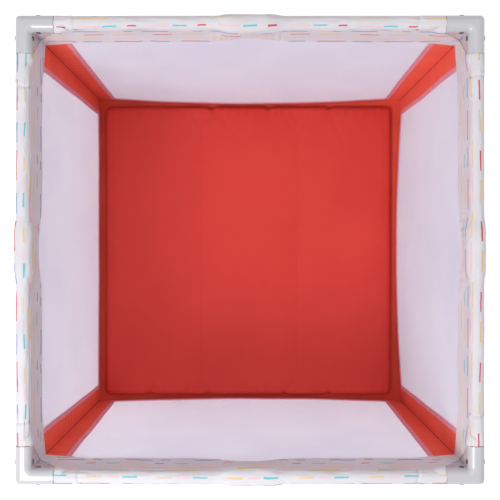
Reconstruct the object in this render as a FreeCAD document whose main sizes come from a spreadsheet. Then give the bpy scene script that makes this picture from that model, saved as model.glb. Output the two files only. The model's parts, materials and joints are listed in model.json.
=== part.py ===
import FreeCAD, Part

import math
import os
import re

import Sketcher

# A square folding playpen: four corner posts, each with a top bracket and a foot, a rail of
# two hinged halves along every side with a squeeze latch in its middle, and a base cross of
# four arms that meet in a hub. Fabric sleeves cover the rails, thin side panels hang below
# them, a cloth spans the base and a three-part mat lies on it.
#
# The origin is on the floor under the middle of the pen, +Z is up and the front is -Y.
# Every repeated piece is drawn once, for the front side or the front left corner, and turned
# about Z. Pieces that lie along a diagonal are drawn along X and turned a further 45 degrees.
#
# The pen folds with one motion. A half rail is as long from pivot to pivot as a base arm
# divided by the square root of two, so both turn through the same angle, and the posts stay
# upright while they come together.

DIMENSIONS = {
    "width": 1000.0,  # over the corner brackets
    "height": 760.0,
    "rail_below_top": 18.0,  # from the top down to the axis of the rails
    "bracket_half": 18.0,  # half the width of a bracket's arm
    "bracket_reach": 65.0,  # from the post's axis to the end of a bracket's arm
    "bracket_cheek_drop": 24.0,  # cheeks reach this far below the rail axis
    "bracket_socket_drop": 70.0,
    "bracket_corner_round": 10.0,
    "bracket_top_round": 16.0,
    "bracket_inner_round": 4.0,
    "channel_half": 12.0,
    "channel_start": 16.0,  # the channel begins this far from the post's axis
    "channel_roof": 14.0,  # above the rail axis
    "corner_pivot": 30.0,  # rail pivot, from the post's axis
    "latch_pivot": 30.0,  # rail pivot, from the middle of the side
    "foot_pivot": 40.0,  # arm pivot, from the post's axis
    "arm_level": 35.0,  # arm axis above the floor
    "post_radius": 12.5,
    "rail_radius": 11.0,
    "arm_radius": 10.0,
    "tube_wall": 1.2,
    "tube_overhang": 8.0,  # a tube runs this far past its pivot
    "pin_radius": 3.0,
    "pin_head": 5.0,
    "head_thick": 1.2,
    "running_gap": 0.05,
    "pressed_gap": 0.01,
    "socket_gap": 0.25,
    "post_bottom": 24.0,
    "foot_radius": 25.0,
    "foot_plate": 9.0,
    "foot_socket": 17.0,
    "foot_top": 70.0,
    "clevis_start": 20.0,
    "clevis_half": 16.0,
    "clevis_round": 4.0,
    "clevis_slot": 10.8,
    "clevis_reach": 53.0,  # from the post's axis
    "clevis_top": 49.0,
    "clevis_floor": 18.0,
    "latch_long": 42.0,  # half the length of the latch housing
    "latch_half": 13.2,
    "latch_channel": 11.35,
    "latch_floor": 14.1,  # floor of the channel, below the rail axis
    "latch_bottom": 15.9,
    "latch_top": 12.0,
    "latch_round": 3.0,
    "latch_block": 16.0,  # half the length of the solid middle
    "button_long": 11.0,
    "button_half": 7.0,
    "button_gap": 0.3,
    "button_stem_top": 7.0,
    "button_well_top": 2.5,
    "paddle_long": 22.0,
    "paddle_half": 9.5,
    "paddle_top": 21.0,
    "paddle_bottom": 25.0,
    "paddle_round": 1.5,
    "paddle_room": 3.0,  # from the paddle to the edge of the sleeve's opening
    "sleeve_bore": 12.0,
    "sleeve_radius": 16.0,
    "bulge_long": 56.0,  # the sleeve is wider this far each side of the latch's middle
    "bulge_bore": 19.8,
    "bulge_radius": 21.3,
    "bulge_lip": 2.0,
    "sleeve_gap": 1.0,
    "cover_bore": 13.0,
    "cover_radius": 14.5,
    "hub_radius": 60.0,
    "hub_bottom": 17.0,
    "hub_top": 51.0,
    "hub_round": 3.0,
    "hub_slot_start": 31.0,
    "hub_slot_top": 48.2,
    "hub_foot": 24.0,
    "hub_cover_radius": 56.0,
    "hub_cover_top": 54.5,
    "hub_cover_round": 2.0,
    "well_half": 20.0,
    "well_floor": 42.0,
    "handle_half": 18.0,
    "handle_bar": 5.0,
    "grip_width": 7.0,
    "handle_bottom": 44.5,
    "handle_pivot": 15.0,  # pivot of the handle, towards the front from the middle
    "trunnion_radius": 2.0,
    "trunnion_depth": 3.0,  # depth of its hole in the well's wall
    "cloth_half": 460.0,
    "cloth_bottom": 52.0,
    "cloth_top": 53.5,
    "cloth_hole": 58.5,
    "mat_half": 430.0,
    "mat_bottom": 55.0,
    "mat_top": 80.0,
    "mat_fold": 143.0,  # the folds, from the middle
    "mat_gap": 0.2,
    "mat_round": 18.0,
    "panel_half": 460.0,
    "panel_in": 466.0,  # inner face of a side panel, from the middle
    "panel_thick": 2.0,
    "panel_bottom": 56.0,
    "panel_top": 716.0,
}

# Plain values of the same places, for telling edges apart. Everything else is bound to the sheet.
POST_OFFSET = DIMENSIONS["width"] / 2 - DIMENSIONS["bracket_half"]
RAIL_LEVEL = DIMENSIONS["height"] - DIMENSIONS["rail_below_top"]
CLOSE = 0.1

POST_AT = "(width / 2 - bracket_half)"
RAIL_Z = "(height - rail_below_top)"
POST_DIAGONAL = f"(sqrt(2) * {POST_AT})"
FOOT_PIVOT = f"({POST_DIAGONAL} - foot_pivot)"
HUB_PIVOT = "(sqrt(2) * (corner_pivot + latch_pivot) - foot_pivot)"

DIAGONALS = (45, 135, 225, 315)
CORNERS = {"front_left": 0, "front_right": 90, "back_right": 180, "back_left": 270}
SIDES = {"front": 0, "right": 90, "back": 180, "left": 270}
RAIL_NAMES = {
    "front": ("front_left", "front_right"),
    "right": ("right_front", "right_back"),
    "back": ("back_right", "back_left"),
    "left": ("left_back", "left_front"),
}
# A cylinder is made along Z; these turn it along X and along Y.
ALONG = {
    "x": FreeCAD.Rotation(FreeCAD.Vector(0, 1, 0), 90),
    "y": FreeCAD.Rotation(FreeCAD.Vector(1, 0, 0), -90),
    "z": FreeCAD.Rotation(),
}

doc = FreeCAD.newDocument("playpen")
dims = doc.addObject("Spreadsheet::Sheet", "dims")
for row, (alias, value) in enumerate(DIMENSIONS.items(), start=1):
    dims.set(f"A{row}", alias)
    dims.set(f"B{row}", str(value))
    dims.setAlias(f"B{row}", alias)
doc.recompute()
nodes = []


def bound(expression):
    """The expression with each dimension's name pointed at its cell."""
    return re.sub(
        r"[a-z_]{3,}",
        lambda word: f"dims.{word.group()}" if word.group() in DIMENSIONS else word.group(),
        str(expression),
    )


def bind(thing, **sizes):
    for name, expression in sizes.items():
        thing.setExpression(name.replace("__", "."), bound(expression))


def place(thing, x, y, z):
    bind(thing, Placement__Base__x=x, Placement__Base__y=y, Placement__Base__z=z)


def turned(thing, angle):
    thing.Placement = FreeCAD.Placement(
        FreeCAD.Vector(), FreeCAD.Rotation(FreeCAD.Vector(0, 0, 1), angle)
    )
    return thing


def keep(thing, label, angle=0):
    """Marks an object as a finished sub-part, turned about Z to where it belongs."""
    thing.Label = label
    nodes.append(turned(thing, angle))
    return thing


# Free solids, for tubes and pins


def rod(name, along, x, y, z, long, radius):
    """A cylinder that starts at x, y, z and runs along an axis."""
    thing = doc.addObject("Part::Cylinder", name)
    thing.Placement.Rotation = ALONG[along]
    bind(thing, Radius=radius, Height=long)
    place(thing, x, y, z)
    return thing


def cut(name, base, tools):
    joined = tools[0]
    if len(tools) > 1:
        joined = doc.addObject("Part::MultiFuse", name + "_tools")
        joined.Shapes = tools
    thing = doc.addObject("Part::Cut", name)
    thing.Base = base
    thing.Tool = joined
    return thing


def pin(name, along, x, y, z, half):
    """A riveted pin through x, y, z with a head outside each cheek, half its grip away."""
    start = {"x": (f"{x} - {half}", y, z), "y": (x, f"{y} - {half}", z)}[along]
    low = {"x": (f"{x} - {half} - head_thick", y, z), "y": (x, f"{y} - {half} - head_thick", z)}[along]
    high = {"x": (f"{x} + {half}", y, z), "y": (x, f"{y} + {half}", z)}[along]
    thing = doc.addObject("Part::MultiFuse", name)
    thing.Shapes = [
        rod(name + "_shaft", along, *start, f"2 * {half}", "pin_radius"),
        rod(name + "_head_low", along, *low, "head_thick", "pin_head"),
        rod(name + "_head_high", along, *high, "head_thick", "pin_head"),
    ]
    return thing


def tube(name, x, y, z, long, radius, holes):
    """A tube along X with a cross hole at each place in holes, for the pins of its pivots."""
    end = f"{x} - tube_overhang"
    bores = [rod(name + "_bore", "x", f"{end} - 1", y, z, f"{long} + 2", f"{radius} - tube_wall")]
    for index, at in enumerate(holes):
        start = f"{y} - {radius} - 1"
        across = f"2 * {radius} + 2"
        bores.append(
            rod(f"{name}_hole_{index}", "y", at, start, z, across, "pin_radius + running_gap")
        )
    return cut(name, rod(name + "_outside", "x", end, y, z, long, radius), bores)


# Moulded pieces, as bodies of added and cut blocks and cylinders


def new_body(label):
    return doc.addObject("PartDesign::Body", label)


def block(body, name, x, y, z, remove=False):
    """A box given by its low and high expression on each axis."""
    kind = "PartDesign::SubtractiveBox" if remove else "PartDesign::AdditiveBox"
    thing = body.newObject(kind, f"{body.Name}_{name}")
    bind(
        thing,
        Length=f"{x[1]} - ({x[0]})",
        Width=f"{y[1]} - ({y[0]})",
        Height=f"{z[1]} - ({z[0]})",
    )
    place(thing, x[0], y[0], z[0])
    return thing


def drum(body, name, along, x, y, z, long, radius, remove=False):
    kind = "PartDesign::SubtractiveCylinder" if remove else "PartDesign::AdditiveCylinder"
    thing = body.newObject(kind, f"{body.Name}_{name}")
    thing.Placement.Rotation = ALONG[along]
    bind(thing, Radius=radius, Height=long)
    place(thing, x, y, z)
    return thing


def outline(body, name, corners, level, high):
    """A pad of a closed outline whose corners are bound to the sheet, at a height above the floor."""
    sketch = body.newObject("Sketcher::SketchObject", f"{body.Name}_{name}_sketch")
    plane = next(f for f in body.Origin.OriginFeatures if f.Role == "XY_Plane")
    sketch.AttachmentSupport = (plane, [""])
    sketch.MapMode = "FlatFace"
    bind(sketch, AttachmentOffset__Base__z=level)
    count = len(corners)
    for index in range(count):
        angle = 2 * math.pi * index / count
        following = 2 * math.pi * (index + 1) / count
        sketch.addGeometry(
            Part.LineSegment(
                FreeCAD.Vector(math.cos(angle), math.sin(angle), 0),
                FreeCAD.Vector(math.cos(following), math.sin(following), 0),
            )
        )
    for index in range(count):
        sketch.addConstraint(
            Sketcher.Constraint("Coincident", index, 2, (index + 1) % count, 1)
        )
    for index, (x, y) in enumerate(corners):
        for kind, expression in (("DistanceX", x), ("DistanceY", y)):
            number = sketch.addConstraint(Sketcher.Constraint(kind, -1, 1, index, 1, 1.0))
            sketch.setExpression(f"Constraints[{number}]", bound(expression))
    pad = body.newObject("PartDesign::Pad", f"{body.Name}_{name}")
    pad.Profile = sketch
    bind(pad, Length=high)
    return pad


def upright(edge):
    return edge.BoundBox.ZLength > 1


def soften(body, name, radius, wanted):
    """Fillets the edges of the body so far for which wanted(edge, its middle) is true."""
    doc.recompute()
    base = body.Tip
    edges = enumerate(base.Shape.Edges, start=1)
    names = [f"Edge{i}" for i, edge in edges if wanted(edge, edge.BoundBox.Center)]
    thing = body.newObject("PartDesign::Fillet", f"{body.Name}_{name}")
    thing.Base = (base, names)
    bind(thing, Radius=radius)


def corner_bracket(label):
    """The top elbow: two channels, open below, for the half rails and a socket for the post."""
    body = new_body(label)
    out, inner = f"-{POST_AT} - bracket_half", f"-{POST_AT} + bracket_half"
    end = f"-{POST_AT} + bracket_reach"
    cheek_low = f"{RAIL_Z} - bracket_cheek_drop"
    socket_low = f"{RAIL_Z} - bracket_socket_drop"
    outline(
        body,
        "elbow",
        [(out, out), (end, out), (end, inner), (inner, inner), (inner, end), (out, end)],
        cheek_low,
        "rail_below_top + bracket_cheek_drop",
    )
    bend = DIMENSIONS["bracket_half"] - POST_OFFSET
    reach_end = DIMENSIONS["bracket_reach"] - POST_OFFSET
    below_cheeks = RAIL_LEVEL - DIMENSIONS["bracket_cheek_drop"] - 1

    def inside_bend(edge, middle):
        return abs(middle.x - bend) < CLOSE and abs(middle.y - bend) < CLOSE

    def outside_bend(edge, middle):
        return upright(edge) and max(middle.x, middle.y) < -POST_OFFSET

    def top_but_ends(edge, middle):
        at_end = abs(middle.x - reach_end) < CLOSE or abs(middle.y - reach_end) < CLOSE
        return not at_end and edge.BoundBox.ZMin > DIMENSIONS["height"] - CLOSE

    def socket_rest(edge, middle):
        return upright(edge) and max(middle.x, middle.y) > -POST_OFFSET and middle.z < below_cheeks

    soften(body, "inner_rounding", "bracket_inner_round", inside_bend)
    block(body, "socket", (out, inner), (out, inner), (socket_low, cheek_low))
    soften(body, "corner_rounding", "bracket_corner_round", outside_bend)
    soften(body, "top_rounding", "bracket_top_round", top_but_ends)
    soften(body, "socket_rounding", "bracket_inner_round", socket_rest)
    start, open_end = f"-{POST_AT} + channel_start", f"{end} + 1"
    across = (f"-{POST_AT} - channel_half", f"-{POST_AT} + channel_half")
    tall = (f"{cheek_low} - 1", f"{RAIL_Z} + channel_roof")
    block(body, "channel_x", (start, open_end), across, tall, remove=True)
    block(body, "channel_y", across, (start, open_end), tall, remove=True)
    drum(
        body, "post_bore", "z", f"-{POST_AT}", f"-{POST_AT}", f"{socket_low} - 1",
        "bracket_socket_drop - 1", "post_radius + socket_gap", remove=True,
    )
    pivot = f"-{POST_AT} + corner_pivot"
    hole = ("2 * bracket_half + 2", "pin_radius + pressed_gap")
    drum(body, "hole_x", "y", pivot, f"{out} - 1", RAIL_Z, *hole, remove=True)
    drum(body, "hole_y", "x", f"{out} - 1", pivot, RAIL_Z, *hole, remove=True)
    return body


def post(name):
    """The upright tube of a corner, from inside the foot to inside the bracket."""
    long = f"{RAIL_Z} - 3 - post_bottom"
    at = (f"-{POST_AT}", f"-{POST_AT}")
    outside = rod(name + "_outside", "z", *at, "post_bottom", long, "post_radius")
    bore = rod(
        name + "_bore", "z", *at, "post_bottom - 1",
        f"{long} + 2", "post_radius - tube_wall",
    )
    return cut(name, outside, [bore])


def foot(label):
    """A round foot with the post's socket and a clevis for the base arm, along the diagonal."""
    body = new_body(label)
    at = f"-{POST_DIAGONAL}"
    drum(body, "plate", "z", at, "0", "0", "foot_plate", "foot_radius")
    soften(
        body, "plate_rounding", "foot_plate / 3",
        lambda edge, middle: middle.z > DIMENSIONS["foot_plate"] - CLOSE,
    )
    drum(body, "socket", "z", at, "0", "0", "foot_top", "foot_socket")
    reach = (at, f"{at} + clevis_reach")
    block(body, "clevis", reach, ("-clevis_half", "clevis_half"), ("0", "clevis_top"))
    clevis_end = DIMENSIONS["clevis_reach"] - math.sqrt(2) * POST_OFFSET
    soften(
        body, "clevis_rounding", "clevis_round",
        lambda edge, middle: upright(edge) and middle.x > clevis_end - CLOSE,
    )
    block(
        body, "slot", (f"{at} + clevis_start", f"{at} + clevis_reach + 1"),
        ("-clevis_slot", "clevis_slot"), ("clevis_floor", "clevis_top + 1"), remove=True,
    )
    drum(
        body, "post_bore", "z", at, "0", "post_bottom", "foot_top",
        "post_radius + socket_gap", remove=True,
    )
    drum(
        body, "pin_hole", "y", f"-{FOOT_PIVOT}", "-clevis_half - 1", "arm_level",
        "2 * clevis_half + 2", "pin_radius + pressed_gap", remove=True,
    )
    return body


def pivot_rivets(name):
    """The three pins of a corner: two for the half rails and one for the base arm."""
    pivot = f"-{POST_AT} + corner_pivot"
    foot_pin = pin(name + "_arm", "y", f"-{FOOT_PIVOT}", "0", "arm_level", "clevis_half")
    group = doc.addObject("Part::Compound", name)
    group.Links = [
        pin(name + "_x", "y", pivot, f"-{POST_AT}", RAIL_Z, "bracket_half"),
        pin(name + "_y", "x", f"-{POST_AT}", pivot, RAIL_Z, "bracket_half"),
        turned(foot_pin, 45),
    ]
    return group


def corner_cover(name):
    """The fabric tube that a post wears between its bracket and its foot."""
    low = "foot_top + 2"
    long = f"{RAIL_Z} - bracket_socket_drop - 2 - foot_top - 2"
    outside = rod(name + "_outside", "z", f"-{POST_AT}", f"-{POST_AT}", low, long, "cover_radius")
    bore = rod(
        name + "_bore", "z", f"-{POST_AT}", f"-{POST_AT}", f"{low} - 1", f"{long} + 2", "cover_bore"
    )
    return cut(name, outside, [bore])


def half_rail(name, first):
    """Half of the front rail: the one at the left if first, or at the right."""
    outer, inner = f"({POST_AT} - corner_pivot)", "latch_pivot"
    low, high = (f"-{outer}", f"-{inner}") if first else (inner, outer)
    long = f"{outer} - {inner} + 2 * tube_overhang"
    return tube(name, low, f"-{POST_AT}", RAIL_Z, long, "rail_radius", [low, high])


def latch_housing(label):
    """The middle of a rail: a channel open above, where both half rails turn, and a solid
    block between them with a well for the release button."""
    body = new_body(label)
    across = (f"-{POST_AT} - latch_half", f"-{POST_AT} + latch_half")
    tall = (f"{RAIL_Z} - latch_bottom", f"{RAIL_Z} + latch_top")
    block(body, "case", ("-latch_long", "latch_long"), across, tall)
    soften(
        body, "rounding", "latch_round",
        lambda edge, middle: abs(middle.x) < CLOSE and middle.z < RAIL_LEVEL and not upright(edge),
    )
    inside = (f"-{POST_AT} - latch_channel", f"-{POST_AT} + latch_channel")
    hollow = (f"{RAIL_Z} - latch_floor", f"{RAIL_Z} + latch_top + 1")
    block(body, "channel_low", ("-latch_long - 1", "-latch_block"), inside, hollow, remove=True)
    block(body, "channel_high", ("latch_block", "latch_long + 1"), inside, hollow, remove=True)
    well = (f"-{POST_AT} - button_half - button_gap", f"-{POST_AT} + button_half + button_gap")
    block(
        body, "well", ("-button_long - button_gap", "button_long + button_gap"), well,
        (f"{RAIL_Z} - latch_bottom - 1", f"{RAIL_Z} - button_well_top"), remove=True,
    )
    for name, at in (("hole_low", "-latch_pivot"), ("hole_high", "latch_pivot")):
        drum(
            body, name, "y", at, f"-{POST_AT} - latch_half - 1", RAIL_Z,
            "2 * latch_half + 2", "pin_radius + pressed_gap", remove=True,
        )
    return body


def latch_rivets(name):
    """The two pins on which the half rails turn in a latch."""
    group = doc.addObject("Part::Compound", name)
    group.Links = [
        pin(name + "_low", "y", "-latch_pivot", f"-{POST_AT}", RAIL_Z, "latch_half"),
        pin(name + "_high", "y", "latch_pivot", f"-{POST_AT}", RAIL_Z, "latch_half"),
    ]
    return group


def latch_button(label):
    """The release: a paddle below the latch with a stem up into its well."""
    body = new_body(label)
    across = (f"-{POST_AT} - paddle_half", f"-{POST_AT} + paddle_half")
    tall = (f"{RAIL_Z} - paddle_bottom", f"{RAIL_Z} - paddle_top")
    block(body, "paddle", ("-paddle_long", "paddle_long"), across, tall)
    underside = RAIL_LEVEL - DIMENSIONS["paddle_bottom"]
    soften(body, "rounding", "paddle_round", lambda edge, middle: middle.z < underside + CLOSE)
    block(
        body, "stem", ("-button_long", "button_long"),
        (f"-{POST_AT} - button_half", f"-{POST_AT} + button_half"),
        (f"{RAIL_Z} - paddle_top", f"{RAIL_Z} - button_stem_top"),
    )
    return body


def rail_sleeve(name):
    """The padded sleeve of a side, wider over the latch, with an opening below for the button."""
    half = f"({POST_AT} - bracket_reach - sleeve_gap)"
    y, z = f"-{POST_AT}", RAIL_Z
    outside = doc.addObject("Part::MultiFuse", name + "_outside")
    outside.Shapes = [
        rod(name + "_long", "x", f"-{half}", y, z, f"2 * {half}", "sleeve_radius"),
        rod(name + "_bulge", "x", "-bulge_long", y, z, "2 * bulge_long", "bulge_radius"),
    ]
    opening = doc.addObject("Part::Box", name + "_opening")
    bind(
        opening,
        Length="2 * paddle_long + 2 * paddle_room",
        Width="2 * paddle_half + 2 * paddle_room",
        Height="2 * bulge_radius",
    )
    place(
        opening,
        "-paddle_long - paddle_room",
        f"-{POST_AT} - paddle_half - paddle_room",
        f"{RAIL_Z} - 2 * bulge_radius",
    )
    return cut(
        name,
        outside,
        [
            rod(name + "_bore", "x", f"-{half} - 1", y, z, f"2 * {half} + 2", "sleeve_bore"),
            rod(
                name + "_bulge_bore", "x", "-bulge_long + bulge_lip", y, z,
                "2 * bulge_long - 2 * bulge_lip", "bulge_bore",
            ),
            opening,
        ],
    )


def base_arm(name):
    """The tube from a foot's clevis to the hub, drawn along -X."""
    long = f"{FOOT_PIVOT} - {HUB_PIVOT} + 2 * tube_overhang"
    pivots = [f"-{FOOT_PIVOT}", f"-{HUB_PIVOT}"]
    return tube(name, f"-{FOOT_PIVOT}", "0", "arm_level", long, "arm_radius", pivots)


def hub_base(label):
    """The hub that the four arms meet in, with slots open below and a well for the handle."""
    body = new_body(label)
    tall = "hub_top - hub_bottom"
    drum(body, "disc", "z", "0", "0", "hub_bottom", tall, "hub_radius")
    soften(
        body, "rounding", "hub_round",
        lambda edge, middle: edge.BoundBox.ZMin > DIMENSIONS["hub_top"] - CLOSE,
    )
    drum(body, "foot", "z", "0", "0", "0", "hub_bottom + 2", "hub_foot")
    for index, angle in enumerate(DIAGONALS):
        turn = FreeCAD.Rotation(FreeCAD.Vector(0, 0, 1), angle)
        slot = body.newObject("PartDesign::SubtractiveBox", f"{body.Name}_slot_{index}")
        bind(
            slot,
            Length="hub_radius",
            Width="2 * clevis_slot",
            Height="hub_slot_top - hub_bottom + 1",
        )
        slot.Placement.Rotation = turn
        along, aside = turn.multVec(FreeCAD.Vector(1, 0, 0)), turn.multVec(FreeCAD.Vector(0, 1, 0))
        place(
            slot,
            f"hub_slot_start * {along.x:.9f} - clevis_slot * {aside.x:.9f}",
            f"hub_slot_start * {along.y:.9f} - clevis_slot * {aside.y:.9f}",
            "hub_bottom - 1",
        )
        hole = body.newObject("PartDesign::SubtractiveCylinder", f"{body.Name}_hole_{index}")
        hole.Placement.Rotation = turn.multiply(ALONG["y"])
        bind(hole, Radius="pin_radius + pressed_gap", Height="4 * clevis_half")
        place(
            hole,
            f"{HUB_PIVOT} * {along.x:.9f} - 2 * clevis_half * {aside.x:.9f}",
            f"{HUB_PIVOT} * {along.y:.9f} - 2 * clevis_half * {aside.y:.9f}",
            "arm_level",
        )
    block(
        body, "well", ("-well_half", "well_half"), ("-well_half", "well_half"),
        ("well_floor", "hub_top + 1"), remove=True,
    )
    drum(
        body, "handle_hole", "x", "-well_half - trunnion_depth", "-handle_pivot",
        "handle_bottom + handle_bar / 2", "2 * well_half + 2 * trunnion_depth",
        "trunnion_radius + running_gap", remove=True,
    )
    return body


def hub_cover(label):
    """The plate on the hub, with a window over the handle's well."""
    body = new_body(label)
    drum(body, "plate", "z", "0", "0", "hub_top", "hub_cover_top - hub_top", "hub_cover_radius")
    soften(
        body, "rounding", "hub_cover_round",
        lambda edge, middle: edge.BoundBox.ZMin > DIMENSIONS["hub_cover_top"] - CLOSE,
    )
    block(
        body, "window", ("-well_half", "well_half"), ("-well_half", "well_half"),
        ("hub_top - 1", "hub_cover_top + 1"), remove=True,
    )
    return body


def hub_pins(name):
    """The four pins on which the arms turn in the hub."""
    pins = []
    for index, angle in enumerate(DIAGONALS):
        shaft = rod(
            f"{name}_{index}", "y", HUB_PIVOT, "-clevis_half", "arm_level",
            "2 * clevis_half", "pin_radius",
        )
        carrier = doc.addObject("Part::Compound", f"{name}_turn_{index}")
        carrier.Links = [shaft]
        pins.append(turned(carrier, angle))
    group = doc.addObject("Part::Compound", name)
    group.Links = pins
    return group


def hub_handle(label):
    """The bail that lies in the hub's well and is pulled up to fold the pen."""
    body = new_body(label)
    tall = ("handle_bottom", "handle_bottom + handle_bar")
    pivot = "-handle_pivot"
    end = "handle_half"
    block(body, "grip", ("-handle_half", "handle_half"), (f"{end} - grip_width", end), tall)
    reach = (f"{pivot} - handle_bar / 2", end)
    block(body, "arm_low", ("-handle_half", "-handle_half + handle_bar"), reach, tall)
    block(body, "arm_high", ("handle_half - handle_bar", "handle_half"), reach, tall)
    level = "handle_bottom + handle_bar / 2"
    long = "(well_half - handle_half + trunnion_depth - running_gap)"
    for name, start in (("trunnion_low", f"-handle_half - {long}"), ("trunnion_high", "handle_half")):
        drum(body, name, "x", start, pivot, level, long, "trunnion_radius")
    return body


def floor_cloth(label):
    """The cloth over the base cross, with a hole around the hub's cover."""
    body = new_body(label)
    half = ("-cloth_half", "cloth_half")
    block(body, "sheet", half, half, ("cloth_bottom", "cloth_top"))
    drum(
        body, "hole", "z", "0", "0", "cloth_bottom - 1",
        "cloth_top - cloth_bottom + 2", "cloth_hole", remove=True,
    )
    return body


def mat_panel(label, low, high):
    """One of the mat's three padded panels, between two places along X."""
    body = new_body(label)
    block(body, "pad", (low, high), ("-mat_half", "mat_half"), ("mat_bottom", "mat_top"))
    rim = DIMENSIONS["mat_half"]
    if "mat_half" in low + high:
        soften(
            body, "corners", "mat_round",
            lambda edge, middle: upright(edge) and abs(middle.x) > rim - CLOSE,
        )
    return body


def side_panel(label):
    """The hanging wall of the front side, as one thin sheet."""
    body = new_body(label)
    block(
        body, "sheet", ("-panel_half", "panel_half"),
        ("-panel_in - panel_thick", "-panel_in"), ("panel_bottom", "panel_top"),
    )
    return body


for corner, angle in CORNERS.items():
    keep(corner_bracket(f"corner_bracket_{corner}"), f"corner_bracket_{corner}", angle)
    keep(post(f"post_{corner}"), f"post_{corner}", angle)
    keep(foot(f"foot_{corner}"), f"foot_{corner}", angle + 45)
    keep(pivot_rivets(f"pivot_rivets_{corner}"), f"pivot_rivets_{corner}", angle)
    keep(corner_cover(f"corner_cover_{corner}"), f"corner_cover_{corner}", angle)
    keep(base_arm(f"base_arm_{corner}"), f"base_arm_{corner}", angle + 45)

for side, angle in SIDES.items():
    for first, half_name in zip((True, False), RAIL_NAMES[side]):
        keep(half_rail(f"rail_tube_{half_name}", first), f"rail_tube_{half_name}", angle)
    keep(latch_housing(f"latch_housing_{side}"), f"latch_housing_{side}", angle)
    keep(latch_rivets(f"latch_rivets_{side}"), f"latch_rivets_{side}", angle)
    keep(latch_button(f"latch_button_{side}"), f"latch_button_{side}", angle)
    keep(rail_sleeve(f"rail_sleeve_{side}"), f"rail_sleeve_{side}", angle)
    keep(side_panel(f"side_panel_{side}"), f"side_panel_{side}", angle)

keep(hub_base("hub_base"), "hub_base")
keep(hub_cover("hub_cover"), "hub_cover")
keep(hub_pins("hub_pins"), "hub_pins")
keep(hub_handle("hub_handle"), "hub_handle")
keep(floor_cloth("floor_cloth"), "floor_cloth")
keep(mat_panel("mat_panel_left", "-mat_half", "-mat_fold - mat_gap"), "mat_panel_left")
keep(mat_panel("mat_panel_centre", "-mat_fold + mat_gap", "mat_fold - mat_gap"), "mat_panel_centre")
keep(mat_panel("mat_panel_right", "mat_fold + mat_gap", "mat_half"), "mat_panel_right")

doc.recompute()
failed = [thing.Name for thing in doc.Objects if {"Invalid", "Error"} & set(thing.State)]
if failed:
    raise RuntimeError(f"objects failed to build: {failed}")

os.makedirs("parts", exist_ok=True)
for node in nodes:
    shape = node.Shape
    if shape.isNull() or not shape.isValid() or not shape.Solids:
        raise RuntimeError(f"{node.Label} has no valid solid")
    shape.exportStep(os.path.join("parts", node.Label + ".step"))
print(f"wrote {len(nodes)} sub-parts")
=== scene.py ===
import json
import math

import bpy
import numpy as np
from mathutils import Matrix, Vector, noise

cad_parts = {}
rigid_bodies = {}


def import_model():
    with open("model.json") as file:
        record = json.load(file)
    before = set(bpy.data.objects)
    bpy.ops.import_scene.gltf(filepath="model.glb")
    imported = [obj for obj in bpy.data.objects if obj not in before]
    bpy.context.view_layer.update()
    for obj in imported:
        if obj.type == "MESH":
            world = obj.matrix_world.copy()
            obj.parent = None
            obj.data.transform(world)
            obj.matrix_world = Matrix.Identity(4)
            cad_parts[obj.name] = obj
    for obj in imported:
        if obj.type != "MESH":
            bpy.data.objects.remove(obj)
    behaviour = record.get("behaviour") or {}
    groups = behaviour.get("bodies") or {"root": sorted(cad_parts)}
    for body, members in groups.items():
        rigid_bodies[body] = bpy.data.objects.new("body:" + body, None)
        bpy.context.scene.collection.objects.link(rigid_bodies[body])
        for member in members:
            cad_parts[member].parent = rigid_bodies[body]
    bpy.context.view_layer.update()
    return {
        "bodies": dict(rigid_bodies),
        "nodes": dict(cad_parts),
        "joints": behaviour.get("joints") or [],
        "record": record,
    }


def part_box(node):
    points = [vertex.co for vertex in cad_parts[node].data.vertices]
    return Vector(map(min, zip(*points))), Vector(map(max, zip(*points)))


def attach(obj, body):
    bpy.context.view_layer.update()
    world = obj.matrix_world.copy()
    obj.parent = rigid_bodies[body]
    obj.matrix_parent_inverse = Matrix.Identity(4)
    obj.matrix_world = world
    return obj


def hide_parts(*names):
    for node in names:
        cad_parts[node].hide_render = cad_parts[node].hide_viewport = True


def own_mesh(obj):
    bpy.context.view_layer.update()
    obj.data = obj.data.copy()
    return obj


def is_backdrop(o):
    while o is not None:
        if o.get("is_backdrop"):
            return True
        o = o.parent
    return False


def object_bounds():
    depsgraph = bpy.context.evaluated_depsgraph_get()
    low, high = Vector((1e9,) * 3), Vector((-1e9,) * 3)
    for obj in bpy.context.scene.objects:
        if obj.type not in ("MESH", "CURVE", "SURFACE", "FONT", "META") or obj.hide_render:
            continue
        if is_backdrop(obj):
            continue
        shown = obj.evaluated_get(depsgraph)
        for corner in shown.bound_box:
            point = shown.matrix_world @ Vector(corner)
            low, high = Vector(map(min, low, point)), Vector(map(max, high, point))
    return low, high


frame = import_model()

# The looks of a square folding playpen, built round its CAD frame. Lengths are in metres.
#
# Every side is drawn in its own terms: x along the side, depth outwards from the middle of the
# pen and z up. The front side is drawn as it lies and the others are turned about Z. A corner is
# drawn as a, the distance from the middle along one side, and b, along the other.

SIDES = ("front", "right", "back", "left")
CORNERS = ("front_left", "front_right", "back_right", "back_left")
RAILS = {
    "front": ("front_left", "front_right"),
    "right": ("right_front", "right_back"),
    "back": ("back_right", "back_left"),
    "left": ("left_back", "left_front"),
}


def middle(node):
    low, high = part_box(node)
    return (Vector(low) + Vector(high)) / 2


def joint(name):
    return next(j for j in frame["joints"] if j["name"] == name)


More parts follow.
